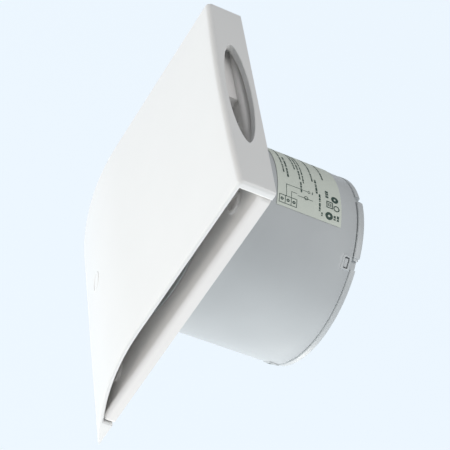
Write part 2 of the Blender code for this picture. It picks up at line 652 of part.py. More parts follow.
def make_impeller():
    front, back = HUB_Y
    hub = turned("impeller", [
        (SHAFT_BORE, front), (13 * MM, front), (18.4 * MM, front + 1.2 * MM), (20.4 * MM, front + 3 * MM),
        (HUB_RADIUS, front + 5.5 * MM), (HUB_RADIUS, back), (HUB_RADIUS - 1.8 * MM, back),
        (HUB_RADIUS - 1.8 * MM, front + 6 * MM), (17 * MM, front + 2.8 * MM), (5.2 * MM, front + 2 * MM),
        (5.2 * MM, back - MM), (SHAFT_BORE, back - MM)], FAN_GREY, steps=28)
    for index in range(BLADES):
        mesh = bpy.data.meshes.new(f"blade_{index}")
        bm = blade_surface(mesh.name)
        bmesh.ops.transform(bm, verts=bm.verts, matrix=Matrix.Rotation(2 * math.pi * index / BLADES, 4,
                                                                       "Y"))
        bmesh.ops.recalc_face_normals(bm, faces=bm.faces)
        bm.to_mesh(mesh)
        bm.free()
        blade = add_object(f"blade_{index}", mesh)
        skin = blade.modifiers.new("thickness", "SOLIDIFY")
        skin.thickness = 1.5 * MM
        skin.offset = 0
        join(hub, blade)
    return hub


# ---------------------------------------------------------------- backdraught shutter

def make_shutter_ring():
    outer = 47.4 * MM
    lip_y = DUCT_END + 0.3 * MM
    ring = turned("damper_ring", [
        (SHUTTER_SLEEVE_INNER, 62 * MM), (outer, 62 * MM), (outer, lip_y), (DUCT_OUTER, lip_y),
        (DUCT_OUTER, SHUTTER_END), (SHUTTER_SLEEVE_INNER, SHUTTER_END), (SHUTTER_SLEEVE_INNER, 72.1 * MM),
        (43.9 * MM, 72.1 * MM), (43.9 * MM, 70.9 * MM), (SHUTTER_SLEEVE_INNER, 70.3 * MM)], GREY_WHITE,
        steps=DUCT_STEPS)
    raised = turned("ring_raised", [(48.6 * MM, lip_y), (50.2 * MM, lip_y),
                                    (50.2 * MM, SHUTTER_END + 0.3 * MM),
                                    (48.6 * MM, SHUTTER_END + 0.3 * MM)], steps=DUCT_STEPS)
    sector = [(0, 0)] + [(60 * MM * math.cos(math.radians(a)), 60 * MM * math.sin(math.radians(a)))
                         for a in (49.5, 59, 68.5, 78, 87.5)]
    wedge = outline_solid("ring_sector", sector, 20 * MM,
                          Matrix.Translation((0, SHUTTER_END, 0)) @ Matrix.Rotation(math.pi / 2, 4, "X"))
    combine(raised, "INTERSECT", wedge)
    join(ring, raised)
    for angle in CLIP_ANGLES:
        barb = radial_box(f"barb_{angle}", (46.6 * MM, 49.2 * MM), 4.2 * MM,
                          (CLIP_Y - 0.9 * MM, CLIP_Y + 0.9 * MM),
                          angle)
        join(ring, barb)
    for angle in CLIP_ANGLES + PLAIN_NOTCH_ANGLES:
        width = 4.6 * MM if angle in CLIP_ANGLES else 3.4 * MM
        notch = radial_box(f"ring_notch_{angle}", (outer + 0.1 * MM, 55 * MM), width, (lip_y - MM, 80 * MM),
                           angle)
        cut(ring, notch)
    pin_seat = rod("ring_pin_seat", SHUTTER_PIN_RADIUS + 0.25 * MM, (0, SHUTTER_PIN_Y, -46.9 * MM),
                   (0, SHUTTER_PIN_Y, 46.9 * MM), sides=12)
    return cut(ring, pin_seat)


def make_flap(side):
    """Half a disc with two hinge barrels on the shared pin. Side is left or right, as seen from the room."""
    sign = -1 if side == "left" else 1
    reach = math.acos(FLAP_GAP / FLAP_RADIUS)
    steps = 16
    outline = []
    for index in range(steps + 1):
        angle = -reach + 2 * reach * index / steps
        outline.append((FLAP_RADIUS * math.cos(angle), FLAP_RADIUS * math.sin(angle)))
    upright = Matrix.Translation((0, SHUTTER_PIN_Y, 0)) @ Matrix.Rotation(math.pi / 2, 4, "X")
    flip = Matrix.Rotation(math.pi, 4, "Y") if sign < 0 else Matrix.Identity(4)
    flap = outline_solid(f"damper_flap_{side}", outline, FLAP_THICKNESS, upright @ flip, GREY_WHITE)
    for index, z in enumerate(KNUCKLES[side]):
        inner, outer = sign * 1.75 * MM, sign * 4 * MM
        tab = box(f"flap_tab_{side}_{index}",
                  (min(inner, outer), SHUTTER_PIN_Y - FLAP_THICKNESS * 0.7, z - KNUCKLE_LENGTH * 0.4),
                  (max(inner, outer), SHUTTER_PIN_Y + FLAP_THICKNESS * 0.7, z + KNUCKLE_LENGTH * 0.4))
        barrel = rod(f"flap_barrel_{side}_{index}", KNUCKLE_RADIUS,
                     (0, SHUTTER_PIN_Y, z - KNUCKLE_LENGTH / 2),
                     (0, SHUTTER_PIN_Y, z + KNUCKLE_LENGTH / 2), sides=14)
        bore = rod(f"flap_bore_{side}_{index}", SHUTTER_PIN_RADIUS + 0.25 * MM,
                   (0, SHUTTER_PIN_Y, z - 6 * MM),
                   (0, SHUTTER_PIN_Y, z + 6 * MM), sides=12)
        join(flap, tab, barrel)
        cut(flap, bore)
    return flap


def make_shutter_pin_and_spring():
    rod("damper_pin", SHUTTER_PIN_RADIUS, (0, SHUTTER_PIN_Y, -46.5 * MM), (0, SHUTTER_PIN_Y, 46.5 * MM),
        STEEL,
        sides=12)
    turns, per_turn, wire = 4, 8, 0.28 * MM
    curve = bpy.data.curves.new("damper_spring", "CURVE")
    curve.dimensions = "3D"
    curve.bevel_depth = wire
    curve.bevel_resolution = 1
    curve.use_fill_caps = True
    spline = curve.splines.new("POLY")
    count = turns * per_turn + 1
    spline.points.add(count - 1)
    for index, slot in enumerate(spline.points):
        angle = 2 * math.pi * index / per_turn
        z = (index / (count - 1) - 0.5) * 6 * MM
        slot.co = (1.75 * MM * math.cos(angle), SHUTTER_PIN_Y + 1.75 * MM * math.sin(angle), z, 1)
    add_object("damper_spring", curve, STEEL)


# ---------------------------------------------------------------- joints

def hinge_empty(name, place, nodes):
    """An empty on a joint's axis, which carries the pieces that move with it."""
    empty = bpy.data.objects.new(name, None)
    empty.location = place
    PARTS.objects.link(empty)
    for node in nodes:
        node.parent = empty
        node.matrix_parent_inverse = Matrix.Translation(place).inverted()
    return empty


def main():
    cover = make_cover()
    make_frame()
    make_wiring_box()
    make_duct()
    make_label()
    make_motor_shells()
    make_bearings()
    make_stator()
    make_carrier()
    make_wire("brown", POLE_X[0], WIRE_ANGLES["brown"], BROWN)
    make_wire("blue", POLE_X[1], WIRE_ANGLES["blue"], BLUE)
    make_rotor()
    make_impeller()
    make_shutter_ring()
    make_shutter_pin_and_spring()
    flaps = {side: make_flap(side) for side in ("left", "right")}
    rotor_names = ("motor_shaft", "rotor_core", "thrust_washer_front", "thrust_washer_rear", "impeller_nut",
                   "impeller")
    hinge_empty("fan_axis", (0, HUB_Y[0], 0), [bpy.data.objects[name] for name in rotor_names])
    hinge_empty("cover_slide", (0, -COVER_SIDE_DEPTH, 0), [cover])
    for side, flap in flaps.items():
        hinge_empty(f"{side}_flap_hinge", (0, SHUTTER_PIN_Y, 0), [flap])
    for piece in PARTS.objects:
        if piece.type == "MESH":
            smooth(piece)
    bpy.context.view_layer.update()


main()
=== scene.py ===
"""The bathroom extractor fan as it looks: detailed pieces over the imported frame, lights, floor and camera.

Frame: the origin is where the duct's axis meets the wall, +Y into the wall, +Z up. Metres.
"""

import math

import bmesh
import bpy
from mathutils import Matrix, Vector


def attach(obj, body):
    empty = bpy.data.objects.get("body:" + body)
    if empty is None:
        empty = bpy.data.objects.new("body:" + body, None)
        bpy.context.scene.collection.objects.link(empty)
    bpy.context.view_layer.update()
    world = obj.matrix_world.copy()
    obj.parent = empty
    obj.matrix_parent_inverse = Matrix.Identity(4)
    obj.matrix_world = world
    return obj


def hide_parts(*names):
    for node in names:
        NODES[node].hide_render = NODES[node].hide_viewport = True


MM = 0.001
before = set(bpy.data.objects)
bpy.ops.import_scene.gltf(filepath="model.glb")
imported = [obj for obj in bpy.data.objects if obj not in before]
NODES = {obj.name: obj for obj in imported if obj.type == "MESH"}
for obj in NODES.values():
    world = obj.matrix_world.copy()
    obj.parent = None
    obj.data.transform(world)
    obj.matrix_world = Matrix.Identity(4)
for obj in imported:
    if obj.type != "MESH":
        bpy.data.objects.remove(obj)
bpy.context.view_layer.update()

# Cover
COVER_HALF_WIDTH = 70.5 * MM
COVER_TOP = 80.5 * MM
COVER_BOTTOM = -87.5 * MM
COVER_SIDE_DEPTH = 18.7 * MM
COVER_CROWN = 2.0 * MM
COVER_CROWN_FADE = 42 * MM
COVER_CURVE_START = -16 * MM
COVER_BOTTOM_DEPTH = 1.0 * MM
COVER_WALL = 2.3 * MM
COVER_TOP_WALL = 4.3 * MM
COVER_BOTTOM_BAR = 14 * MM
COVER_INNER_TOP = COVER_TOP - COVER_TOP_WALL
COVER_INNER_BOTTOM = COVER_BOTTOM + COVER_BOTTOM_BAR
TOP_ROUNDING = 2.8 * MM
SIDE_ROUNDING = 1.2 * MM
BOTTOM_ROUNDING = 0.6 * MM
CORNER_ROUNDING = 1.8 * MM
SLOT_FLARE = 0.8 * MM
WALL_GAP = 0.3 * MM
POST_RADIUS = 2.2 * MM
POST_TIP_RADIUS = 1.9 * MM
POST_END = -1.3 * MM
EYE_HALF_LENGTH = 38.5 * MM
EYE_HALF_WIDTH = 6.5 * MM
EYE_DEPTH = 9.8 * MM
EYE_WALL = 3.0 * MM
POST_PLACES = ((8 * MM, 67 * MM), (-36 * MM, -63 * MM), (36 * MM, -63 * MM))
BADGE = Vector((-1, 0, -50.5)) * MM
BADGE_RADIUS = 4.6 * MM
BADGE_LINE = 0.55 * MM
BADGE_HEIGHT = 0.28 * MM

# Wall frame
FRAME_HALF_WIDTH = 69.9 * MM
FRAME_TOP = 75.8 * MM
FRAME_BOTTOM = -73.1 * MM
FRAME_DEPTH = 5.2 * MM
FRAME_FLOOR = 1.8 * MM
FRAME_RIM = 2.2 * MM
FRAME_STEP = 0.9 * MM
DISH_INSET = 2.6 * MM
BOSS_X = 52 * MM
BOSS_Z = 56.5 * MM
BOSS_RADIUS = 5.5 * MM
BOSS_DEPTH = 6.6 * MM
SEAT_RADIUS = 4.2 * MM
SEAT_DEPTH = 4.2 * MM
SCREW_HOLE_RADIUS = 2.3 * MM
SOCKET_RADIUS = 2.55 * MM
THROUGH = 10 * MM
FAR = 200 * MM

# Wiring box in the frame
BOX_X = (-45 * MM, -5 * MM)
BOX_Z = (54.8 * MM, 73.15 * MM)
BOX_DEPTH = 12.9 * MM
BOX_ROOM_X = (-43.4 * MM, -6.6 * MM)
BOX_ROOM_Z = (56.4 * MM, 71.6 * MM)
WIRE_GATE_X = (-41 * MM, -30 * MM)
CABLE_X, CABLE_Z = -12.5 * MM, 65.5 * MM
CABLE_HOLE_RADIUS = 4.7 * MM

# Duct
DUCT_OUTER = 49.5 * MM
DUCT_INNER = 47.7 * MM
DUCT_END = 72.8 * MM
CLIP_ANGLES = (46, 134, 226, 314)
PLAIN_NOTCH_ANGLES = (90, 270)
LIP_RADIUS = 1.6 * MM
LIP_DEPTH = 6.0 * MM
CLIP_Y = 69.9 * MM
WIRE_ANGLE = 123.25
MOTOR_SCREW_ANGLES = (85, 205, 325)
FLAP_BARRELS = {"left": (14 * MM, -22 * MM), "right": (22 * MM, -14 * MM)}
SHUTTER_END = 76.1 * MM
SLEEVE_INNER = 45.9 * MM
SLEEVE_OUTER = 47.4 * MM
PIN_Y = 73 * MM
LABEL_ANGLES = (64, 150)
LABEL_Y = (28 * MM, 63.5 * MM)
FINE_STEPS = 192
EVEN_STEPS = 128

# Motor and fan wheel
MOTOR_RADIUS = 24 * MM
MOTOR_INNER = 22.6 * MM
MOTOR_WALL = 1.4 * MM
MOTOR_Y = (31 * MM, 62 * MM)
MOTOR_SPLIT = 46 * MM
HUB_RADIUS = 21 * MM
HUB_Y = (6 * MM, 28 * MM)
BLADES = 7
BLADE_ROOT = 20.4 * MM
BLADE_TIP = 44.5 * MM
BLADE_MID_Y = 17 * MM

bpy.context.scene.view_settings.view_transform = "Standard"
STAGE = bpy.data.collections.new("stage")
LOOK = bpy.data.collections.new("look")
HELPERS = bpy.data.collections.new("helpers")
for group in (STAGE, LOOK, HELPERS):
    bpy.context.scene.collection.children.link(group)


# ---------------------------------------------------------------- materials

def shader_of(material):
    material.use_nodes = True
    return material.node_tree.nodes["Principled BSDF"]


def surface(name, colour, roughness, metallic=0.0, grain=0.12, grain_size=1400, mottling=0.05, uneven=0.08,
            coat=0.0, streaks=(1, 1, 1)):
    """A moulded or metal surface: fine grain as bump, slow changes of colour and of shine."""
    material = bpy.data.materials.new(name)
    shader = shader_of(material)
    nodes, links = material.node_tree.nodes, material.node_tree.links
    shader.inputs["Metallic"].default_value = metallic
    shader.inputs["Coat Weight"].default_value = coat
    place = nodes.new("ShaderNodeTexCoord")
    stretch = nodes.new("ShaderNodeMapping")
    stretch.inputs["Scale"].default_value = streaks
    links.new(place.outputs["Object"], stretch.inputs["Vector"])
    fine = nodes.new("ShaderNodeTexNoise")
    fine.inputs["Scale"].default_value = grain_size
    fine.inputs["Detail"].default_value = 3
    links.new(stretch.outputs["Vector"], fine.inputs["Vector"])
    slow = nodes.new("ShaderNodeTexNoise")
    slow.inputs["Scale"].default_value = 38
    slow.inputs["Detail"].default_value = 5
    links.new(stretch.outputs["Vector"], slow.inputs["Vector"])
    bump = nodes.new("ShaderNodeBump")
    bump.inputs["Strength"].default_value = grain
    bump.inputs["Distance"].default_value = 0.00025
    links.new(fine.outputs["Fac"], bump.inputs["Height"])
    links.new(bump.outputs["Normal"], shader.inputs["Normal"])
    shine = nodes.new("ShaderNodeMapRange")
    shine.inputs["To Min"].default_value = max(0.02, roughness - uneven)
    shine.inputs["To Max"].default_value = min(1.0, roughness + uneven)
    links.new(slow.outputs["Fac"], shine.inputs["Value"])
    links.new(shine.outputs["Result"], shader.inputs["Roughness"])
    tint = nodes.new("ShaderNodeValToRGB")
    dark = tuple(channel * (1 - mottling) for channel in colour)
    tint.color_ramp.elements[0].position = 0.3
    tint.color_ramp.elements[0].color = (*dark, 1)
    tint.color_ramp.elements[1].position = 0.7
    tint.color_ramp.elements[1].color = (*colour, 1)
    links.new(slow.outputs["Fac"], tint.inputs["Fac"])
    links.new(tint.outputs["Color"], shader.inputs["Base Color"])
    return material


WHITE = surface("white_abs", (0.86, 0.86, 0.845), 0.36, mottling=0.015, uneven=0.05)
FRAME_WHITE = surface("frame_abs", (0.85, 0.83, 0.81), 0.45, mottling=0.02)
# Partly painted shade: the duct's light grey plastic is drawn darker than the cover's white, to stand in for
# the shade on the duct.
DUCT_GREY_AND_PAINTED_SHADE = surface("duct_plastic", (0.58, 0.605, 0.612), 0.42, grain=0.2, mottling=0.04)
FAN_GREY = surface("fan_plastic", (0.55, 0.58, 0.60), 0.4, mottling=0.05)
PAPER = surface("label_paper", (0.69, 0.735, 0.66), 0.62, grain=0.25, grain_size=2600, mottling=0.05)
INK = surface("label_ink", (0.035, 0.075, 0.06), 0.55, grain=0.1, mottling=0.2)
RUBBER = surface("rubber", (0.03, 0.03, 0.032), 0.72, grain=0.5, mottling=0.3)
STEEL = surface("zinc_steel", (0.58, 0.58, 0.57), 0.3, 1.0, grain=0.3, mottling=0.12, uneven=0.12,
                streaks=(1, 6, 1))
BRONZE = surface("sintered_bronze", (0.48, 0.30, 0.14), 0.5, 1.0, grain=0.6, mottling=0.2)
IRON = surface("laminated_iron", (0.22, 0.23, 0.25), 0.5, 1.0, grain=0.6, mottling=0.2,
               streaks=(0.2, 3, 0.2))
COPPER = surface("enamelled_copper", (0.62, 0.22, 0.08), 0.32, 1.0, grain=0.9, grain_size=900,
                 mottling=0.25, coat=0.5, streaks=(1, 1, 4))
# Painted shade: the terminal cover's white plastic is drawn dark blue-grey, to stand in for the shade inside
# the cover.
LID_PAINTED_SHADE = surface("lid_plastic_painted_shade", (0.30, 0.35, 0.38), 0.3, mottling=0.05)
NYLON = surface("nylon", (0.66, 0.66, 0.60), 0.5, mottling=0.05)
BROWN = surface("brown_pvc", (0.14, 0.05, 0.02), 0.4, mottling=0.15)
BLUE = surface("blue_pvc", (0.02, 0.09, 0.42), 0.4, mottling=0.15)


# ---------------------------------------------------------------- shapes

def add_object(name, data, material=None):
    thing = bpy.data.objects.new(name, data)
    if material is None:
        HELPERS.objects.link(thing)
        thing.hide_render = True
        thing.display_type = "WIRE"
    else:
        LOOK.objects.link(thing)
        data.materials.append(material)
    return thing


def finish_mesh(name, bm, material=None):
    bmesh.ops.recalc_face_normals(bm, faces=bm.faces)
    mesh = bpy.data.meshes.new(name)
    bm.to_mesh(mesh)
    bm.free()
    return add_object(name, mesh, material)


def box(name, low, high, material=None):
    low, high = Vector(low), Vector(high)
    bm = bmesh.new()
    bmesh.ops.create_cube(bm, size=1)
    place = Matrix.Translation((low + high) / 2) @ Matrix.Diagonal((*(high - low), 1))
    bmesh.ops.transform(bm, verts=bm.verts, matrix=place)
    return finish_mesh(name, bm, material)


def rod(name, radius, start, end, material=None, sides=48, end_radius=None):
    start, end = Vector(start), Vector(end)
    along = end - start
    bm = bmesh.new()
    bmesh.ops.create_cone(bm, cap_ends=True, segments=sides, radius1=radius,
                          radius2=radius if end_radius is None else end_radius, depth=along.length)
    turn = along.to_track_quat("Z", "Y").to_matrix().to_4x4()
    bmesh.ops.transform(bm, verts=bm.verts, matrix=Matrix.Translation((start + end) / 2) @ turn)
    return finish_mesh(name, bm, material)


def turned(name, profile, material=None, steps=FINE_STEPS):
    """Turns a closed (radius, y) outline round the duct's axis."""
    bm = bmesh.new()
    rings = []
    for step in range(steps):
        angle = 2 * math.pi * step / steps
        rings.append([bm.verts.new((r * math.cos(angle), y, r * math.sin(angle))) for r, y in profile])
    count = len(profile)
    for step in range(steps):
        first, second = rings[step], rings[(step + 1) % steps]
        for index in range(count):
            after = (index + 1) % count
            bm.faces.new((first[index], first[after], second[after], second[index]))
    return finish_mesh(name, bm, material)


def combine(target, operation, *tools):
    for tool in tools:
        step = target.modifiers.new(tool.name, "BOOLEAN")
        step.operation = operation
        step.object = tool
        step.solver = "EXACT"
    return target


def cut(target, *tools):
    return combine(target, "DIFFERENCE", *tools)


def join(target, *tools):
    return combine(target, "UNION", *tools)


def round_edges(thing, width, segments=3, degrees=38):
    bevel = thing.modifiers.new("round", "BEVEL")
    bevel.width = width
    bevel.segments = segments
    bevel.limit_method = "ANGLE"
    bevel.angle_limit = math.radians(degrees)
    bevel.harden_normals = True
    return thing


def bake(thing, degrees=32):
    """Turns the modifiers into plain geometry with smooth shading, so that hidden helpers can go."""
    bpy.context.view_layer.update()
    mesh = bpy.data.meshes.new_from_object(thing.evaluated_get(bpy.context.evaluated_depsgraph_get()))
    thing.modifiers.clear()
    thing.data = mesh
    mesh.shade_smooth()
    mesh.set_sharp_from_angle(angle=math.radians(degrees))
    return thing


def even_normals(thing):
    """Large flat faces keep flat shading next to small roundings."""
    fix = thing.modifiers.new("even_normals", "WEIGHTED_NORMAL")
    fix.keep_sharp = True
    fix.weight = 100
    return thing


def radial(radius, degrees, y=0.0):
    angle = math.radians(degrees)
    return Vector((radius * math.cos(angle), y, radius * math.sin(angle)))


def radial_box(name, radii, width, ys, degrees, material=None):
    thing = box(name, (radii[0], ys[0], -width / 2), (radii[1], ys[1], width / 2), material)
    thing.data.transform(Matrix.Rotation(-math.radians(degrees), 4, "Y"))
    return thing


# ---------------------------------------------------------------- cover

def front_depth(x, z):
    """How far the front stands off the wall: flat, then one arc down to the bottom edge, and crowned."""
    run = COVER_CURVE_START - COVER_BOTTOM
    drop = COVER_SIDE_DEPTH - COVER_BOTTOM_DEPTH
    arc = (run ** 2 + drop ** 2) / (2 * drop)
    below = max(COVER_CURVE_START - z, 0)
    fall = arc - math.sqrt(arc ** 2 - below ** 2)
    fade = max(0, min(1, (z - COVER_BOTTOM) / COVER_CROWN_FADE)) ** 0.7
    crown = COVER_CROWN * max(0, 1 - (x / COVER_HALF_WIDTH) ** 2)
    return COVER_SIDE_DEPTH - fall + crown * fade


def quarter_drop(share):
    """How far a rounded edge has fallen, as a share of its radius, from 0 inside to 1 at the edge."""
    return 1 - math.sqrt(max(0, 1 - min(1, share) ** 2))


def graded(low, high, coarse, low_radius, high_radius):
    """Grid lines between two edges, close together inside the two edges' roundings."""
    fine = (0, 0.06, 0.2, 0.4, 0.65, 1)
    lines = [low + low_radius * share for share in fine]
    inner_low, inner_high = low + low_radius, high - high_radius
    lines += [inner_low + (inner_high - inner_low) * step / coarse for step in range(1, coarse)]
    return lines + [high - high_radius * share for share in reversed(fine)]


def cover_block():
    """The cover's outer form: front, rounded front edges, rounded corners in plan and a flat back."""
    columns = graded(-COVER_HALF_WIDTH, COVER_HALF_WIDTH, 36, SIDE_ROUNDING, SIDE_ROUNDING)
    levels = graded(COVER_BOTTOM, COVER_TOP, 52, BOTTOM_ROUNDING, TOP_ROUNDING)
    bm = bmesh.new()
    bmesh.ops.create_grid(bm, x_segments=len(columns) - 1, y_segments=len(levels) - 1, size=1)
    for vert in bm.verts:
        x = columns[round((vert.co.x + 1) / 2 * (len(columns) - 1))]
        z = levels[round((vert.co.y + 1) / 2 * (len(levels) - 1))]
        side = max(0, 1 - (COVER_HALF_WIDTH - abs(x)) / SIDE_ROUNDING)
        top = max(0, 1 - (COVER_TOP - z) / TOP_ROUNDING)
        bottom = max(0, 1 - (z - COVER_BOTTOM) / BOTTOM_ROUNDING)
        weight = side ** 2 + top ** 2 + bottom ** 2
        drop = 0
        if weight > 0:
            radius = (side ** 2 * SIDE_ROUNDING + top ** 2 * TOP_ROUNDING
                      + bottom ** 2 * BOTTOM_ROUNDING) / weight
            drop = radius * quarter_drop(math.sqrt(weight))
        depth = max(front_depth(x, z) - drop, 2 * WALL_GAP)
        across = (abs(x) - COVER_HALF_WIDTH + CORNER_ROUNDING) / CORNER_ROUNDING
        up = (z - COVER_TOP + CORNER_ROUNDING) / CORNER_ROUNDING
        if across > 0 and up > 0:
            flat_x = COVER_HALF_WIDTH - CORNER_ROUNDING * (1 - across * math.sqrt(1 - up ** 2 / 2))
            x = math.copysign(flat_x, x)
            z = COVER_TOP - CORNER_ROUNDING * (1 - up * math.sqrt(1 - across ** 2 / 2))
        vert.co = (x, -depth, z)
    grown = bmesh.ops.extrude_face_region(bm, geom=bm.faces[:])
    for vert in grown["geom"]:
        if isinstance(vert, bmesh.types.BMVert):
            vert.co.y = -WALL_GAP
    return finish_mesh("cover_shell", bm, WHITE)


def cover_inside():
    """The room between the slots. It flares at both sides, which rounds the slots' inner edges."""
    reach = COVER_HALF_WIDTH + 3 * MM
    columns = [-reach] + graded(-COVER_HALF_WIDTH, COVER_HALF_WIDTH, 36, SLOT_FLARE, SLOT_FLARE) + [reach]
    count = 48
    height = COVER_INNER_TOP - COVER_INNER_BOTTOM
    levels = [COVER_INNER_BOTTOM + height * step / count for step in range(count + 1)]
    bm = bmesh.new()
    bmesh.ops.create_grid(bm, x_segments=len(columns) - 1, y_segments=count, size=1)
    for vert in bm.verts:
        x = columns[round((vert.co.x + 1) / 2 * (len(columns) - 1))]
        row = round((vert.co.y + 1) / 2 * count)
        flare = SLOT_FLARE * quarter_drop(1 - (COVER_HALF_WIDTH - abs(x)) / SLOT_FLARE) if (
            abs(x) > COVER_HALF_WIDTH - SLOT_FLARE) else 0
        shift = {0: -flare, count: flare}.get(row, 0)
        vert.co = (x, COVER_WALL - flare - front_depth(x, levels[row]), levels[row] + shift)
    grown = bmesh.ops.extrude_face_region(bm, geom=bm.faces[:])
    for vert in grown["geom"]:
        if isinstance(vert, bmesh.types.BMVert):
            vert.co.y = 5 * MM
    return finish_mesh("cover_inside", bm)


def eye_outline(grow=0.0, points=72):
    """An eye shape with blunt ends, as (x, y) round its own centre."""
    length, width = EYE_HALF_LENGTH + grow, EYE_HALF_WIDTH + grow
    outline = []
    for index in range(points):
        angle = 2 * math.pi * index / points
        across = math.copysign(abs(math.sin(angle)) ** 1.16, math.sin(angle))
        outline.append((length * math.cos(angle), width * across))
    return outline


def eye_cutter(name, layers):
    """A solid through levels of (z, growth), each with the eye's outline."""
    bm = bmesh.new()
    rings = []
    for z, grow in layers:
        rings.append([bm.verts.new((x, y - EYE_DEPTH, z)) for x, y in eye_outline(grow)])
    count = len(rings[0])
    for first, second in zip(rings, rings[1:]):
        for index in range(count):
            after = (index + 1) % count
            bm.faces.new((first[index], first[after], second[after], second[index]))
    bm.faces.new(rings[0])
    bm.faces.new(rings[-1])
    return finish_mesh(name, bm)


def make_cover():
    cover = cover_block()
    eye = eye_cutter("eye_cutter", (
        (COVER_TOP + MM, 0.5 * MM), (COVER_TOP, 0.5 * MM), (COVER_TOP - 0.15 * MM, 0.25 * MM),
        (COVER_TOP - 0.5 * MM, 0.0), (COVER_INNER_TOP - MM, -0.25 * MM)))
    relief = eye_cutter("eye_relief", ((COVER_INNER_TOP - MM, 1.5 * MM), (COVER_TOP - EYE_WALL, 1.5 * MM)))
    cut(cover, cover_inside(), relief, eye)
    for index, (x, z) in enumerate(POST_PLACES):
        root_y = COVER_WALL / 2 - front_depth(x, z)
        join(cover, rod(f"post_{index}", POST_RADIUS, (x, root_y, z), (x, POST_END, z), sides=24,
                        end_radius=POST_TIP_RADIUS))
    bake(cover, 36)
    even_normals(cover)
    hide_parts("front_cover")
    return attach(cover, "cover")


def make_badge():
    """A plain raised ring, moulded on the front."""
    bm = bmesh.new()
    around, tube = 64, 12
    rings = []
    for step in range(around):
        angle = 2 * math.pi * step / around
        ring = []
        for turn in range(tube):
            lean = 2 * math.pi * turn / tube
            radius = BADGE_RADIUS + BADGE_LINE * math.cos(lean)
            x = BADGE.x + radius * math.cos(angle)
            z = BADGE.z + radius * math.sin(angle)
            ring.append(bm.verts.new((x, -front_depth(x, z) - BADGE_HEIGHT * math.sin(lean), z)))
        rings.append(ring)
    for step in range(around):
        first, second = rings[step], rings[(step + 1) % around]
        for turn in range(tube):
            after = (turn + 1) % tube
            bm.faces.new((first[turn], first[after], second[after], second[turn]))
    ring = finish_mesh("badge_ring", bm, WHITE)
    ring.data.shade_smooth()
    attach(ring, "cover")


# ---------------------------------------------------------------- wall frame and duct

def make_frame():
    frame_body = box("wall_frame", (-FRAME_HALF_WIDTH, -FRAME_DEPTH - FRAME_STEP, FRAME_BOTTOM),
                     (FRAME_HALF_WIDTH, FRAME_DEPTH, FRAME_TOP), FRAME_WHITE)
    round_edges(frame_body, 2.2 * MM, segments=5)
    behind = box("frame_behind", (-FAR, 0, -FAR), (FAR, 50 * MM, FAR))
    hollow = box("frame_hollow",
                 (-FRAME_HALF_WIDTH + FRAME_RIM, FRAME_FLOOR - FRAME_DEPTH, FRAME_BOTTOM + FRAME_RIM),
                 (FRAME_HALF_WIDTH - FRAME_RIM, THROUGH, FRAME_TOP - FRAME_RIM))
    dish = box("frame_dish", (-FRAME_HALF_WIDTH + DISH_INSET, -2 * THROUGH, FRAME_BOTTOM + DISH_INSET),
               (FRAME_HALF_WIDTH - DISH_INSET, -FRAME_DEPTH, FRAME_TOP - DISH_INSET))
    cut(frame_body, behind, hollow, dish)
    for index, (side, level) in enumerate(((-1, -1), (1, -1), (-1, 1), (1, 1))):
        x, z = side * BOSS_X, level * BOSS_Z
        boss = rod(f"boss_{index}", BOSS_RADIUS, (x, -BOSS_DEPTH, z), (x, 0, z))
        recess = rod(f"recess_{index}", SEAT_RADIUS, (x, -8 * MM, z), (x, -SEAT_DEPTH, z))
        hole = rod(f"hole_{index}", SCREW_HOLE_RADIUS, (x, -THROUGH, z), (x, THROUGH, z), sides=24)
        join(frame_body, boss)
        cut(frame_body, recess, hole)
    for index, (x, z) in enumerate(POST_PLACES):
        cut(frame_body, rod(f"socket_{index}", SOCKET_RADIUS, (x, -THROUGH, z), (x, THROUGH, z), sides=24))
    walls = box("box_walls", (BOX_X[0], -BOX_DEPTH, BOX_Z[0]), (BOX_X[1], -SEAT_DEPTH, BOX_Z[1]))
    room = box("box_room", (BOX_ROOM_X[0], -14 * MM, BOX_ROOM_Z[0]),
               (BOX_ROOM_X[1], -FRAME_DEPTH, BOX_ROOM_Z[1]))
    join(frame_body, walls)
    cut(frame_body, room)
    duct_hole = rod("duct_hole", DUCT_OUTER + 0.3 * MM, (0, -2 * THROUGH, 0), (0, 2 * THROUGH, 0),
                    sides=FINE_STEPS)
    cable_hole = rod("cable_hole", CABLE_HOLE_RADIUS, (CABLE_X, -THROUGH, CABLE_Z),
                     (CABLE_X, THROUGH, CABLE_Z))
    gate = box("wire_gate", (WIRE_GATE_X[0], -14 * MM, 53 * MM), (WIRE_GATE_X[1], -6.4 * MM, 56.8 * MM))
    cut(frame_body, gate, duct_hole, cable_hole)
    round_edges(frame_body, 0.25 * MM, segments=2, degrees=50)
    bake(frame_body, 40)
    even_normals(frame_body)
    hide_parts("base_frame")
    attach(frame_body, "housing")


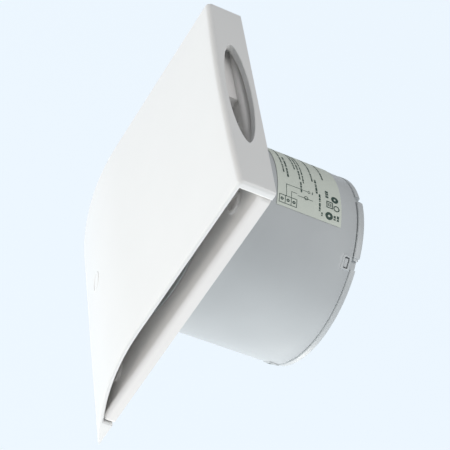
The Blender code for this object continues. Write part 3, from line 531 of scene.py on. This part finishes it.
def make_duct():
    lip = []
    for index in range(13):
        angle = math.radians(90 * index / 12)
        lip.append((DUCT_INNER + LIP_RADIUS * (1 - math.cos(angle)),
                    LIP_RADIUS - LIP_DEPTH - LIP_RADIUS * math.sin(angle)))
    band = DUCT_OUTER - 0.12 * MM
    groove = [(DUCT_OUTER, 66.0 * MM), (band, 66.2 * MM), (band, DUCT_END - 0.4 * MM),
              (DUCT_OUTER - 0.5 * MM, DUCT_END)]
    flange, flange_back = 52.5 * MM, -5.5 * MM
    duct = turned("duct_tube", groove + [(DUCT_INNER, DUCT_END), (DUCT_INNER, 2 * MM)] + lip + [
        (flange - 0.4 * MM, -LIP_DEPTH), (flange, -LIP_DEPTH + 0.4 * MM), (flange, flange_back),
        (DUCT_OUTER, flange_back)], DUCT_GREY_AND_PAINTED_SHADE)
    for angle in CLIP_ANGLES:
        pad = radial_box(f"clip_pad_{angle}", (48.4 * MM, 49.85 * MM), 7.4 * MM,
                         (CLIP_Y - 2.4 * MM, CLIP_Y + 2.4 * MM), angle)
        join(duct, round_edges(pad, 0.5 * MM))
    for angle in CLIP_ANGLES:
        window = radial_box(f"clip_window_{angle}", (44 * MM, 55 * MM), 5.6 * MM,
                            (CLIP_Y - 1.35 * MM, CLIP_Y + 1.35 * MM), angle)
        cut(duct, round_edges(window, 0.5 * MM))
    bake(duct, 30)
    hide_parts("duct_spigot")
    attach(duct, "housing")


def make_shutter_ring():
    lip_y = DUCT_END + 0.3 * MM
    ring = turned("shutter_ring", [
        (SLEEVE_INNER, 62 * MM), (SLEEVE_OUTER, 62 * MM), (SLEEVE_OUTER, lip_y), (49.1 * MM, lip_y),
        (DUCT_OUTER, lip_y + 0.4 * MM), (DUCT_OUTER, SHUTTER_END - 0.5 * MM),
        (49.2 * MM, SHUTTER_END - 0.15 * MM), (48.7 * MM, SHUTTER_END), (46.3 * MM, SHUTTER_END),
        (SLEEVE_INNER, SHUTTER_END - 0.4 * MM), (SLEEVE_INNER, 72.1 * MM), (43.9 * MM, 72.1 * MM),
        (43.9 * MM, 70.9 * MM), (SLEEVE_INNER, 70.3 * MM)], DUCT_GREY_AND_PAINTED_SHADE)
    low, high = 50, 87
    steps = 40
    bm = bmesh.new()
    layers = []
    for step in range(steps + 1):
        degrees = low + (high - low) * step / steps
        layers.append([bm.verts.new(radial(r, degrees, y)) for r, y in (
            (48.6 * MM, lip_y), (50.1 * MM, lip_y), (50.1 * MM, SHUTTER_END + 0.2 * MM),
            (48.6 * MM, SHUTTER_END + 0.2 * MM))])
    for first, second in zip(layers, layers[1:]):
        for index in range(4):
            after = (index + 1) % 4
            bm.faces.new((first[index], first[after], second[after], second[index]))
    bm.faces.new(layers[0])
    bm.faces.new(layers[-1])
    raised = finish_mesh("ring_raised", bm)
    join(ring, round_edges(raised, 0.35 * MM))
    for angle in CLIP_ANGLES:
        join(ring, radial_box(f"barb_{angle}", (46.6 * MM, 49.2 * MM), 4.2 * MM,
                              (CLIP_Y - 0.9 * MM, CLIP_Y + 0.9 * MM), angle))
    for angle in CLIP_ANGLES + PLAIN_NOTCH_ANGLES:
        width = 3.4 * MM if angle in PLAIN_NOTCH_ANGLES else 4.6 * MM
        notch = radial_box(f"ring_notch_{angle}", (47.5 * MM, 55 * MM), width, (lip_y - MM, 80 * MM), angle)
        cut(ring, notch)
    cut(ring, rod("pin_seat", 1.25 * MM, (0, PIN_Y, -46.9 * MM), (0, PIN_Y, 46.9 * MM), sides=24))
    bake(ring, 30)
    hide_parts("damper_ring")
    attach(ring, "housing")


# ---------------------------------------------------------------- label

# Rows of print: mm from the room-side edge, mm from the lower edge, length, height of the dashes
LABEL_ROWS = ((3.6, 21, 30, 0.75), (5.6, 18.5, 16, 0.95), (10.6, 27, 22, 0.7), (12.4, 20, 28, 0.8),
              (12.6, 11.5, 7, 0.8), (14.2, 18, 26, 0.7), (19.6, 22, 26, 0.75), (21.2, 14.5, 9.5, 1.0),
              (22.8, 10.0, 3.0, 0.9), (22.8, 4.6, 4.2, 0.9), (26.4, 27, 18, 0.75))


def patch(bm, radius, angles, ys, columns=1):
    """A small curved rectangle on the duct."""
    rows = []
    for column in range(columns + 1):
        degrees = angles[0] + (angles[1] - angles[0]) * column / columns
        rows.append([bm.verts.new(radial(radius, degrees, y)) for y in ys])
    for first, second in zip(rows, rows[1:]):
        bm.faces.new((first[0], first[1], second[1], second[0]))


def make_label():
    bm = bmesh.new()
    patch(bm, DUCT_OUTER + 0.27 * MM, LABEL_ANGLES, LABEL_Y, 72)
    sheet = finish_mesh("label_sheet", bm, PAPER)
    thick = sheet.modifiers.new("sheet", "SOLIDIFY")
    thick.thickness = 0.12 * MM
    bake(sheet)
    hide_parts("rating_label")
    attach(sheet, "housing")
    ink = bmesh.new()
    radius = DUCT_OUTER + 0.36 * MM
    degrees_per_mm = math.degrees(MM / DUCT_OUTER)

    def bar(across, along, length, height):
        """A bar that starts across mm from the label's lower edge and along mm from its room-side edge."""
        start = LABEL_ANGLES[0] + across * degrees_per_mm
        patch(ink, radius, (start, start + length * degrees_per_mm),
              (LABEL_Y[0] + along * MM, LABEL_Y[0] + (along + height) * MM), max(1, int(length / 2)))

    def words(along, across, length, height, weight=1.0):
        """A row of dashes of uneven length, as a line of small print looks from a distance."""
        spot, step = across, 0
        while spot < across + length:
            dash = (0.9, 1.7, 0.5, 1.3, 2.1, 0.8)[(step + int(along * 3)) % 6] * weight
            bar(spot, along, dash, height)
            spot += dash + 0.38 + (0.5 if step % 4 == 3 else 0)
            step += 1

    def ring(along, across, outer, inner, sides=20):
        """A printed ring, or a disc when its inner radius is 0."""
        loops = []
        for size in (outer, inner):
            loop = []
            for side in range(sides):
                turn = 2 * math.pi * side / sides
                degrees = LABEL_ANGLES[0] + (across + size * math.sin(turn)) * degrees_per_mm
                y = LABEL_Y[0] + (along + size * math.cos(turn)) * MM
                loop.append(ink.verts.new(radial(radius, degrees, y)))
            loops.append(loop)
        for side in range(sides):
            after = (side + 1) % sides
            ink.faces.new((loops[0][side], loops[0][after], loops[1][after], loops[1][side]))

    def frame_of_bars(along, across, wide, high, line):
        """A rectangle drawn with thin bars: wide along the duct's axis, high round it."""
        bar(across, along, line, wide)
        bar(across + high - line, along, line, wide)
        bar(across, along, high, line)
        bar(across, along + wide - line, high, line)

    for along, across, length, height in LABEL_ROWS:
        words(along, across, length, height)
    frame_of_bars(0.9, 1.6, 9.8, 4.6, 0.3)
    for step in (1, 2):
        bar(1.6, 0.9 + 3.27 * step, 4.6, 0.25)
    for step in range(3):
        ring(2.5 + 3.27 * step, 3.9, 0.85, 0.3)
    bar(6.1, 4.6, 7.2, 0.25)
    bar(13.1, 4.6, 0.25, 11.5)
    bar(6.1, 7.4, 3.6, 0.25)
    bar(9.5, 7.4, 0.25, 3.2)
    bar(8.6, 10.9, 0.25, 8.5)
    ring(15.6, 9.0, 1.1, 0.75)
    ring(17.2, 13.2, 0.75, 0.5)
    bar(12.4, 19.0, 1.6, 0.4)
    frame_of_bars(27.0, 8.4, 3.6, 4.0, 0.5)
    frame_of_bars(28.0, 9.6, 1.6, 1.6, 0.35)
    ring(28.6, 3.9, 2.1, 0.7)
    ring(31.8, 14.6, 2.0, 0.6)
    ring(32.6, 9.4, 1.7, 1.15)
    words(31.2, 2.6, 2.6, 1.1, 0.6)
    words(33.0, 2.6, 2.6, 1.1, 0.7)
    words(26.6, 14.2, 4.2, 1.7, 0.6)
    words(24.2, 2.4, 2.2, 0.8, 0.6)
    print_ink = finish_mesh("label_print", ink, INK)
    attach(print_ink, "housing")


# ---------------------------------------------------------------- motor, fan wheel and shutter

def stand_in_for(thing, body, slot_name, *nodes, degrees=30):
    """Finishes a detailed piece that is shown in place of CAD nodes."""
    bake(thing, degrees)
    even_normals(thing)
    if nodes:
        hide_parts(*nodes)
    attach(thing, body)


def rounded(profile, radius, steps=4):
    """A closed (radius, y) outline with its corners rounded."""
    found = []
    count = len(profile)
    for index in range(count):
        before, here, after = (Vector(profile[(index + shift) % count]) for shift in (-1, 0, 1))
        to_before, to_after = before - here, after - here
        reach = min(radius, to_before.length * 0.45, to_after.length * 0.45)
        start, end = here + to_before.normalized() * reach, here + to_after.normalized() * reach
        for step in range(steps + 1):
            share = step / steps
            point = start * (1 - share) ** 2 + here * 2 * share * (1 - share) + end * share ** 2
            found.append(tuple(point))
    return found


def make_motor():
    front, rear = MOTOR_Y
    pocket, pocket_outer, pocket_depth = 4.8 * MM, 6.3 * MM, 5.2 * MM
    lip, hole, tip = 1.2 * MM, 2.8 * MM, 0.01 * MM
    front_shell = turned("motor_front", rounded([
        (MOTOR_RADIUS, MOTOR_SPLIT), (MOTOR_RADIUS, front), (hole, front), (hole, front + lip),
        (pocket, front + lip), (pocket, front + pocket_depth), (pocket_outer, front + pocket_depth),
        (pocket_outer, front + MOTOR_WALL), (MOTOR_INNER, front + MOTOR_WALL),
        (MOTOR_INNER, MOTOR_SPLIT)], 1.3 * MM), STEEL, steps=EVEN_STEPS)
    stand_in_for(front_shell, "housing", "steel", "motor_front_shell")
    rear_start = MOTOR_SPLIT + 0.3 * MM
    rear_shell = turned("motor_rear", rounded([
        (tip, rear), (MOTOR_RADIUS, rear), (MOTOR_RADIUS, rear_start), (MOTOR_INNER, rear_start),
        (MOTOR_INNER, rear - MOTOR_WALL), (pocket_outer, rear - MOTOR_WALL),
        (pocket_outer, rear - pocket_depth), (pocket, rear - pocket_depth), (pocket, rear - lip),
        (tip, rear - lip)], 1.0 * MM), STEEL, steps=EVEN_STEPS)
    stand_in_for(rear_shell, "housing", "steel", "motor_rear_shell")


def make_carrier():
    inner, outer, rear = 24.4 * MM, 26.4 * MM, 62.3 * MM
    cup = turned("carrier_cup", rounded([
        (inner, 38 * MM), (outer, 38 * MM), (outer, rear + 2 * MM), (12 * MM, rear + 2 * MM),
        (12 * MM, rear), (inner, rear)], 0.6 * MM), DUCT_GREY_AND_PAINTED_SHADE, steps=EVEN_STEPS)
    ring = turned("carrier_ring", rounded([
        (SLEEVE_INNER, 42 * MM), (SLEEVE_OUTER, 42 * MM), (SLEEVE_OUTER, 56 * MM),
        (SLEEVE_INNER, 56 * MM)], 0.4 * MM), DUCT_GREY_AND_PAINTED_SHADE)
    cut(ring, radial_box("ring_gate", (44 * MM, 50 * MM), 9 * MM, (36 * MM, 60 * MM), WIRE_ANGLE))
    cut(cup, radial_box("cup_gate", (20 * MM, 30 * MM), 6.5 * MM, (57 * MM, 62 * MM), WIRE_ANGLE))
    for index, angle in enumerate(MOTOR_SCREW_ANGLES):
        at = radial(18.5 * MM, angle)
        cut(cup, rod(f"cup_hole_{index}", 1.7 * MM, at + Vector((0, 0.05, 0)), at + Vector((0, 0.08, 0))))
    stand_in_for(cup, "housing", "duct_plastic", "motor_carrier")
    stand_in_for(ring, "housing", "duct_plastic")
    for angle in (45, 135, 225, 315):
        strut = radial_box(f"carrier_strut_{angle}", (25.6 * MM, 46.4 * MM), 2.4 * MM,
                           (40 * MM, 55 * MM), angle, DUCT_GREY_AND_PAINTED_SHADE)
        round_edges(strut, 0.7 * MM)
        stand_in_for(strut, "housing", "duct_plastic")


def blade_point(out, across):
    """A point on a blade's middle surface: out runs from root to tip, across from -0.5 to 0.5."""
    radius = BLADE_ROOT + (BLADE_TIP - BLADE_ROOT) * out
    pitch = math.radians(50 - 20 * out)
    chord = (21 + 7 * out) * MM
    camber = 2.2 * MM * (1 - 4 * across ** 2)
    along = across * chord * math.cos(pitch) + camber * math.sin(pitch)
    y = BLADE_MID_Y + across * chord * math.sin(pitch) - camber * math.cos(pitch)
    angle = along / radius + math.radians(12) * out ** 2
    return Vector((radius * math.cos(angle), y, radius * math.sin(angle)))


def make_impeller():
    front, back = HUB_Y
    hub = turned("impeller_hub", rounded([
        (2.12 * MM, front), (13 * MM, front), (18.4 * MM, front + 1.2 * MM), (20.4 * MM, front + 3 * MM),
        (HUB_RADIUS, front + 5.5 * MM), (HUB_RADIUS, back), (HUB_RADIUS - 1.8 * MM, back),
        (HUB_RADIUS - 1.8 * MM, front + 6 * MM), (17 * MM, front + 2.8 * MM), (5.2 * MM, front + 2 * MM),
        (5.2 * MM, back - MM), (2.12 * MM, back - MM)], 0.9 * MM), FAN_GREY, steps=EVEN_STEPS)
    stand_in_for(hub, "rotor", "fan_plastic", "impeller")
    for index in range(BLADES):
        bm = bmesh.new()
        bmesh.ops.create_grid(bm, x_segments=16, y_segments=18, size=1)
        for vert in bm.verts:
            out, across = (vert.co.x + 1) / 2, vert.co.y / 2
            corner = max(0, out - 0.8) / 0.2
            vert.co = blade_point(out, across * (1 - 0.10 * corner ** 2))
        bmesh.ops.transform(bm, verts=bm.verts, matrix=Matrix.Rotation(2 * math.pi * index / BLADES, 4, "Y"))
        blade = finish_mesh(f"impeller_blade_{index + 1}", bm, FAN_GREY)
        skin = blade.modifiers.new("skin", "SOLIDIFY")
        skin.thickness = 1.4 * MM
        skin.offset = 0
        round_edges(blade, 0.5 * MM, segments=3, degrees=60)
        stand_in_for(blade, "rotor", "fan_plastic")


def make_flap(side):
    """Half a disc with three ribs and two hinge barrels."""
    sign = -1 if side == "left" else 1
    flap_radius, gap, half = 45.2 * MM, 2.6 * MM, 0.45 * MM
    reach = math.acos(gap / flap_radius)
    steps = 72
    bm = bmesh.new()
    rings = []
    for y in (PIN_Y - half, PIN_Y + half):
        ring = []
        for index in range(steps + 1):
            angle = -reach + 2 * reach * index / steps
            x, z = sign * flap_radius * math.cos(angle), flap_radius * math.sin(angle)
            ring.append(bm.verts.new((x, y, z)))
        rings.append(ring)
    count = steps + 1
    for index in range(count):
        after = (index + 1) % count
        bm.faces.new((rings[0][index], rings[0][after], rings[1][after], rings[1][index]))
    bm.faces.new(rings[0])
    bm.faces.new(rings[1])
    flap = finish_mesh(f"flap_{side}", bm, DUCT_GREY_AND_PAINTED_SHADE)
    round_edges(flap, 0.2 * MM, segments=2)
    for index, z in enumerate((-25 * MM, 0, 25 * MM)):
        rib_end = math.sqrt((flap_radius - 3 * MM) ** 2 - z ** 2)
        ends = sorted((sign * 7.2 * MM, sign * rib_end))
        rib = box(f"rib_{side}_{index}", (ends[0], PIN_Y + half - 0.2 * MM, z - 0.5 * MM),
                  (ends[1], PIN_Y + half + 1.2 * MM, z + 0.5 * MM))
        join(flap, round_edges(rib, 0.35 * MM))
    for index, z in enumerate(FLAP_BARRELS[side]):
        inner, outer = sorted((sign * 1.75 * MM, sign * 4.6 * MM))
        tab = box(f"tab_{side}_{index}", (inner, PIN_Y - 0.62 * MM, z - 2.8 * MM),
                  (outer, PIN_Y + 0.62 * MM, z + 2.8 * MM))
        barrel = rod(f"barrel_{side}_{index}", 2.2 * MM, (0, PIN_Y, z - 3.5 * MM), (0, PIN_Y, z + 3.5 * MM))
        bore = rod(f"bore_{side}_{index}", 1.25 * MM, (0, PIN_Y, z - 6 * MM), (0, PIN_Y, z + 6 * MM))
        join(flap, tab, barrel)
        cut(flap, bore)
    stand_in_for(flap, f"{side}_flap", "duct_plastic", f"damper_flap_{side}")


def make_spring():
    """The shutter's return spring: a wound wire round the hinge pin."""
    curve = bpy.data.curves.new("return_spring", "CURVE")
    curve.dimensions = "3D"
    curve.bevel_depth = 0.26 * MM
    curve.bevel_resolution = 4
    curve.use_fill_caps = True
    spline = curve.splines.new("POLY")
    turns, per_turn, coil = 6, 32, 1.72 * MM
    count = turns * per_turn + 1
    spline.points.add(count - 1)
    for index, point in enumerate(spline.points):
        angle = 2 * math.pi * index / per_turn
        z = (index / (count - 1) - 0.5) * 6 * MM
        point.co = (coil * math.cos(angle), PIN_Y + coil * math.sin(angle), z, 1)
    spring = add_object("return_spring", curve, STEEL)
    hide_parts("damper_spring")
    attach(spring, "housing")


# ---------------------------------------------------------------- CAD nodes that are shown as they are

# The terminal cover's dark blue-grey is painted shade, not the colour of its white plastic.
NODE_LOOKS = {
    "terminal_cover": LID_PAINTED_SHADE, "motor_carrier": DUCT_GREY_AND_PAINTED_SHADE, "damper_flap_left": DUCT_GREY_AND_PAINTED_SHADE,
    "damper_flap_right": DUCT_GREY_AND_PAINTED_SHADE, "impeller": FAN_GREY, "cable_grommet": RUBBER, "motor_front_shell": STEEL,
    "motor_rear_shell": STEEL, "motor_shaft": STEEL, "impeller_nut": STEEL, "damper_pin": STEEL,
    "damper_spring": STEEL, "front_bearing": BRONZE, "rear_bearing": BRONZE, "stator_core": IRON,
    "rotor_core": IRON, "coil_1": COPPER, "coil_2": COPPER, "coil_3": COPPER, "coil_4": COPPER,
    "terminal_block": NYLON, "cord_clamp": NYLON, "thrust_washer_front": NYLON, "thrust_washer_rear": NYLON,
    "lead_wire_brown": BROWN, "lead_wire_blue": BLUE,
}


def dress_nodes():
    for name, node in NODES.items():
        look = NODE_LOOKS.get(name, STEEL)
        node.data.materials.clear()
        node.data.materials.append(look)
        node.data.shade_smooth()
        node.data.set_sharp_from_angle(angle=math.radians(34))


# ---------------------------------------------------------------- floor, light and camera

FLOOR_DROP = -0.9
WARM = (1.0, 0.96, 0.91)
FRONT_WARM = (1.0, 0.945, 0.885)
BACKDROP = (0.84, 0.925, 1.0)
BACKDROP_LIGHT = 0.96


def make_stage():
    bm = bmesh.new()
    bmesh.ops.create_grid(bm, x_segments=1, y_segments=1, size=6)
    floor = finish_mesh("floor", bm, bpy.data.materials.new("floor"))
    floor.location = (0, 0, FLOOR_DROP)
    shader = shader_of(floor.data.materials[0])
    shader.inputs["Base Color"].default_value = (0.1, 0.1, 0.1, 1)
    shader.inputs["Roughness"].default_value = 1.0
    shader.inputs["Specular IOR Level"].default_value = 0.0
    shader.inputs["Emission Color"].default_value = (*BACKDROP, 1)
    shader.inputs["Emission Strength"].default_value = BACKDROP_LIGHT
    world = bpy.data.worlds.new("studio")
    bpy.context.scene.world = world
    world.use_nodes = True
    background = world.node_tree.nodes["Background"]
    background.inputs["Color"].default_value = (0.93, 0.96, 1.0, 1)
    background.inputs["Strength"].default_value = 0.3


def area_light(name, place, size, power, colour=(1, 1, 1)):
    light = bpy.data.lights.new(name, "AREA")
    light.shape = "DISK"
    light.size = size
    light.energy = power
    light.color = colour
    thing = bpy.data.objects.new(name, light)
    thing.location = place
    thing.rotation_euler = (-Vector(place)).to_track_quat("-Z", "Y").to_euler()
    STAGE.objects.link(thing)


CAMERA_PLACE = Vector((686.63, -322.03, 470.56)) * MM
CAMERA_RIGHT = Vector((0.10503, 0.86513, 0.49043))
CAMERA_UP = Vector((-0.63453, -0.32143, 0.70289))
CAMERA_BACK = Vector((0.76573, -0.38502, 0.51518))
CAMERA_LENS = 148.0


def make_camera():
    camera = bpy.data.cameras.new("camera")
    camera.sensor_width = 36
    camera.lens = CAMERA_LENS
    thing = bpy.data.objects.new("camera", camera)
    turn = Matrix((CAMERA_RIGHT, CAMERA_UP, CAMERA_BACK)).transposed().to_4x4()
    thing.matrix_world = Matrix.Translation(CAMERA_PLACE) @ turn
    STAGE.objects.link(thing)
    bpy.context.scene.camera = thing


make_cover()
make_badge()
make_frame()
make_duct()
make_shutter_ring()
make_label()
make_motor()
make_carrier()
make_impeller()
make_flap("left")
make_flap("right")
make_spring()
dress_nodes()
make_stage()
area_light("front_light", (-0.1, -1.3, -0.3), 1.1, 7.6, FRONT_WARM)
area_light("side_light", (1.0, -1.05, -0.1), 0.5, 5, WARM)
area_light("low_light", (0.35, 0.35, -0.85), 0.5, 6, WARM)
area_light("top_light", (0.5, 0.5, 1.3), 1.2, 9.3)
make_camera()
